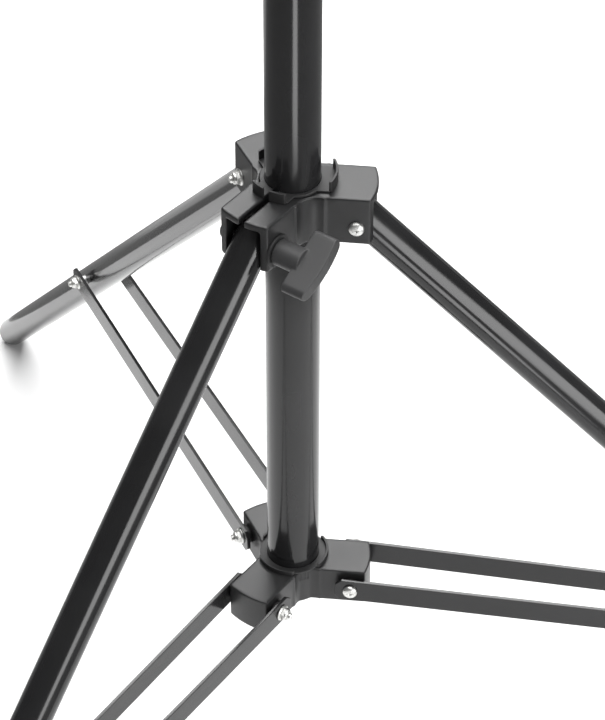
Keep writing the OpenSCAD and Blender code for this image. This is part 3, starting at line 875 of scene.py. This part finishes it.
class STAND_OT_stage(bpy.types.Operator):
    """Lays the floor and the glowing cards on it that paint reflections, hangs the softboxes, and sets up the
    camera
    """

    bl_idname = "stand.stage"
    bl_label = "Floor, lights and camera"

    def softbox(self, name, place, aim, size, brightness):
        """A softbox of even brightness that faces a point."""
        bpy.ops.object.light_add(type="AREA", location=place)
        light = bpy.context.object
        light.name = name
        light.data.shape = "RECTANGLE"
        light.data.size, light.data.size_y = size
        light.data.energy = brightness * math.pi * size[0] * size[1]
        light.rotation_euler = (Vector(aim) - Vector(place)).to_track_quat("-Z", "Y").to_euler()
        light.visible_camera = False

    def card(self, card, brightness):
        """Makes a flat piece a glowing card that only reflections see: a painted reflection that lights
        nothing and casts no shadow.
        """
        stuff = bpy.data.materials.new(card.name)
        stuff.use_nodes = True
        stuff.node_tree.nodes.clear()
        glow = stuff.node_tree.nodes.new("ShaderNodeEmission")
        glow.inputs["Color"].default_value = (1, 1, 1, 1)
        glow.inputs["Strength"].default_value = brightness
        out = stuff.node_tree.nodes.new("ShaderNodeOutputMaterial")
        stuff.node_tree.links.new(glow.outputs["Emission"], out.inputs["Surface"])
        card.data.materials.clear()
        card.data.materials.append(stuff)
        card.visible_camera = False
        card.visible_diffuse = False
        card.visible_shadow = False
        card.visible_transmission = False
        card.visible_volume_scatter = False

    def flat_card(self, name, place, turn, size, brightness):
        """Lays an oblong glowing card just above the floor, seen only in reflections as a painted reflection.
        """
        bpy.ops.mesh.primitive_plane_add(size=1, location=(*place, CARD_LEVEL), rotation=(0, 0, turn))
        card = bpy.context.object
        card.name = name
        card.scale = (*size, 1)
        bpy.ops.object.transform_apply(location=True, rotation=True, scale=True)
        self.card(card, brightness)

    def floor(self, context):
        bpy.ops.mesh.primitive_plane_add(size=FLOOR_SIZE, location=(0, 0, 0))
        floor = context.object
        floor.name = "studio_floor"
        stuff = Finish("pale studio floor", Specular_IOR_Level=0.2, Roughness=0.8)
        haze = stuff.noise(1.5, 3)
        colour = tuple(context.scene.stand_colours.floor)
        stuff.feed("Base Color", stuff.mix(haze, shade(colour, 0.985), colour))
        floor.data.materials.append(stuff.material)

    def execute(self, context):
        studio = context.scene.stand_studio
        bpy.ops.object.select_all(action="DESELECT")
        self.floor(context)
        # A dim glowing ring round the stand, seen only in reflections: a painted dark reflection in place of
        # the bright floor, which lights nothing and casts no shadow.
        dark_reflection_outline = [(radius, DARK_REFLECTION_LEVEL) for radius in DARK_REFLECTION_RADII]
        self.card(turned("floor_dark_reflection", dark_reflection_outline, 64, hollow=True), studio.flag)
        # Glowing cards in front and behind, seen only in reflections: painted reflections on the tubes.
        self.flat_card(
            "floor_reflection_glow", place=(0.373, -1.267), turn=0.35, size=(0.32, 0.9),
            brightness=studio.reflection_glow)
        self.flat_card(
            "far_reflection_glow", place=(-0.77, 1.33), turn=math.pi / 6, size=(2.4, 1.2),
            brightness=studio.far_card)
        self.softbox(
            "top_softbox", place=(-0.2, 0.2, 3.6), aim=(-0.2, 0.2, 0), size=(3.2, 3.2),
            brightness=studio.top)
        self.softbox(
            "back_softbox", place=(-0.1, 2.5, 2.98), aim=(0, 0, 0.6), size=(3.0, 1.15),
            brightness=studio.back)
        self.softbox(
            "right_softbox", place=(1.75, -1.2, 0.77), aim=(0, 0, 0.55), size=(2.1, 0.9),
            brightness=studio.right)
        world = bpy.data.worlds.new("studio")
        context.scene.world = world
        world.use_nodes = True
        sky = next(n for n in world.node_tree.nodes if n.type == "BACKGROUND")
        sky.inputs["Color"].default_value = (1, 1, 1, 1)
        sky.inputs["Strength"].default_value = studio.sky
        context.scene.view_settings.view_transform = "Standard"
        bpy.ops.object.camera_add(location=studio.camera_place)
        camera = context.object
        camera.name = "studio_camera"
        turn = (
            Matrix.Rotation(studio.camera_heading, 3, "Z")
            @ Matrix.Rotation(math.pi / 2 - studio.camera_tilt, 3, "X")
            @ Matrix.Rotation(studio.camera_roll, 3, "Z"))
        camera.rotation_euler = turn.to_euler()
        camera.data.lens = studio.lens
        camera.data.sensor_width = SENSOR_WIDTH
        context.scene.camera = camera
        return {"FINISHED"}


class STAND_PT_panel(bpy.types.Panel):
    """Lists the pieces of the stand and their settings"""

    bl_idname = "STAND_PT_panel"
    bl_label = "Crank lighting stand"
    bl_space_type = "VIEW_3D"
    bl_region_type = "UI"
    bl_category = "Stand"

    def draw(self, context):
        for operator in PIECES:
            self.layout.operator(operator.bl_idname)
        for group in (context.scene.stand_sizes, context.scene.stand_colours, context.scene.stand_studio):
            for name in group.bl_rna.properties.keys():
                if name not in ("rna_type", "name"):
                    self.layout.prop(group, name)


PIECES = (
    STAND_OT_stage,
    STAND_OT_finishes,
    STAND_OT_castings,
    STAND_OT_bushes,
    STAND_OT_knob,
    STAND_OT_fasteners,
    STAND_OT_feet,
    STAND_OT_bars,
    STAND_OT_grip,
    STAND_OT_cable,
)
GROUPS = (StandSizes, StandColours, StudioSettings)


def register():
    for item in (*GROUPS, *PIECES, STAND_PT_panel):
        bpy.utils.register_class(item)
    bpy.types.Scene.stand_sizes = PointerProperty(type=StandSizes)
    bpy.types.Scene.stand_colours = PointerProperty(type=StandColours)
    bpy.types.Scene.stand_studio = PointerProperty(type=StudioSettings)


def unregister():
    del bpy.types.Scene.stand_studio
    del bpy.types.Scene.stand_colours
    del bpy.types.Scene.stand_sizes
    for item in reversed((*GROUPS, *PIECES, STAND_PT_panel)):
        bpy.utils.unregister_class(item)


def main():
    register()
    for operator in PIECES:
        group, name = operator.bl_idname.split(".")
        getattr(getattr(bpy.ops, group), name)()


if __name__ == "__main__":
    main()
